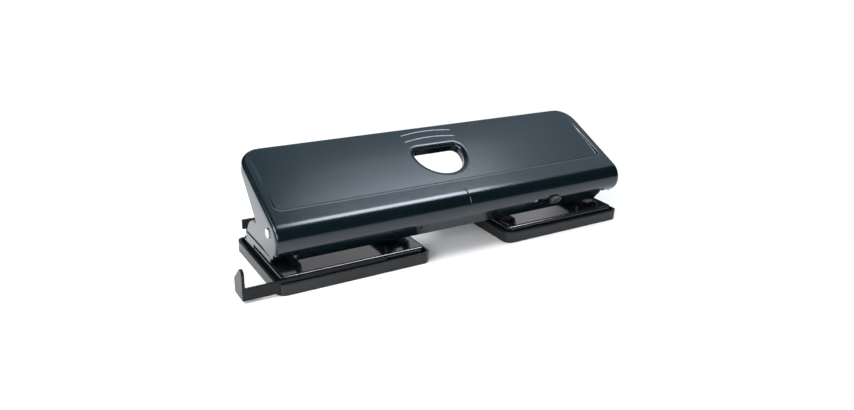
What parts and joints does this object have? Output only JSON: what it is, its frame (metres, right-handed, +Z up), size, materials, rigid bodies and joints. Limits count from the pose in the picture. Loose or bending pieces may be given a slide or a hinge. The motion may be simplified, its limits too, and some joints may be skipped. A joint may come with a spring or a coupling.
{
  "type": "hole punch",
  "caption": "Desk punch for ring-binder holes: a sprung black lever handle over two chip-tray bases, with a slide-out paper guide and a handle lock.",
  "frame": {"origin": "centre of the footprint, guide included, on the desk", "axes": "+X along the punch to the right, +Y from the user to the back, +Z up"},
  "size_m": [0.2808, 0.075, 0.0671],
  "materials": {
    "handle_paint": "satin",
    "gloss_black": "gloss",
    "black_steel": "satin",
    "tray_plastic": "matte",
    "black_plastic": "satin",
    "bright_steel": "bright"
  },
  "bodies": {
    "frame": {"base_plate_left": "gloss_black", "base_plate_right": "gloss_black", "side_plate_left": "black_steel", "side_plate_right": "black_steel", "tie_rail": "black_steel", "punch_bracket_1": "gloss_black", "punch_bracket_2": "gloss_black", "punch_bracket_3": "gloss_black", "punch_bracket_4": "gloss_black", "die_1": "bright_steel", "die_2": "bright_steel", "die_3": "bright_steel", "die_4": "bright_steel", "pivot_axle": "bright_steel", "axle_clips": "bright_steel", "bracket_rivets": "bright_steel", "rail_rivets": "bright_steel", "side_rivets": "black_steel", "return_spring_1": "bright_steel", "return_spring_2": "bright_steel", "return_spring_3": "bright_steel", "return_spring_4": "bright_steel"},
    "handle": {"handle_shell": "handle_paint", "press_rail_left": "black_steel", "press_rail_right": "black_steel"},
    "lock": {"lock_slider": "black_steel", "lock_knob": "black_plastic"},
    "left_tray": {"tray_left": "tray_plastic"},
    "right_tray": {"tray_right": "tray_plastic"},
    "guide": {"paper_guide": "tray_plastic"},
    "pin_1": {"punch_pin_1": "bright_steel"},
    "pin_2": {"punch_pin_2": "bright_steel"},
    "pin_3": {"punch_pin_3": "bright_steel"},
    "pin_4": {"punch_pin_4": "bright_steel"}
  },
  "joints": [
    {"name": "handle_press", "type": "hinge", "parent": "frame", "child": "handle", "pos_m": [0.0099, -0.0222, 0.0335], "axis": [-1, 0, 0], "range_deg": [0, 20], "stiffness_Nm_per_rad": 0.8, "springref_deg": -28.65},
    {"name": "lock_slide", "type": "slide", "parent": "handle", "child": "lock", "axis": [1, 0, 0], "range_m": [-0.013, 0]},
    {"name": "tray_left_pull", "type": "slide", "parent": "frame", "child": "left_tray", "axis": [0, 0, -1], "range_m": [0, 0.012]},
    {"name": "tray_right_pull", "type": "slide", "parent": "frame", "child": "right_tray", "axis": [0, 0, -1], "range_m": [0, 0.012]},
    {"name": "guide_slide", "type": "slide", "parent": "left_tray", "child": "guide", "axis": [-1, 0, 0], "range_m": [-0.0175, 0.04]},
    {"name": "pin_1_slide", "type": "slide", "parent": "frame", "child": "pin_1", "axis": [0, 0, -1], "range_m": [0, 0.0073], "deforming": ["return_spring_1"]},
    {"name": "pin_2_slide", "type": "slide", "parent": "frame", "child": "pin_2", "axis": [0, 0, -1], "range_m": [0, 0.0073], "deforming": ["return_spring_2"]},
    {"name": "pin_3_slide", "type": "slide", "parent": "frame", "child": "pin_3", "axis": [0, 0, -1], "range_m": [0, 0.0073], "deforming": ["return_spring_3"]},
    {"name": "pin_4_slide", "type": "slide", "parent": "frame", "child": "pin_4", "axis": [0, 0, -1], "range_m": [0, 0.0073], "deforming": ["return_spring_4"]}
  ],
  "couplings": [
    {"joint": "pin_1_slide", "follows": "handle_press", "m_per_rad": 0.020512},
    {"joint": "pin_2_slide", "follows": "handle_press", "m_per_rad": 0.020512},
    {"joint": "pin_3_slide", "follows": "handle_press", "m_per_rad": 0.020512},
    {"joint": "pin_4_slide", "follows": "handle_press", "m_per_rad": 0.020512}
  ]
}
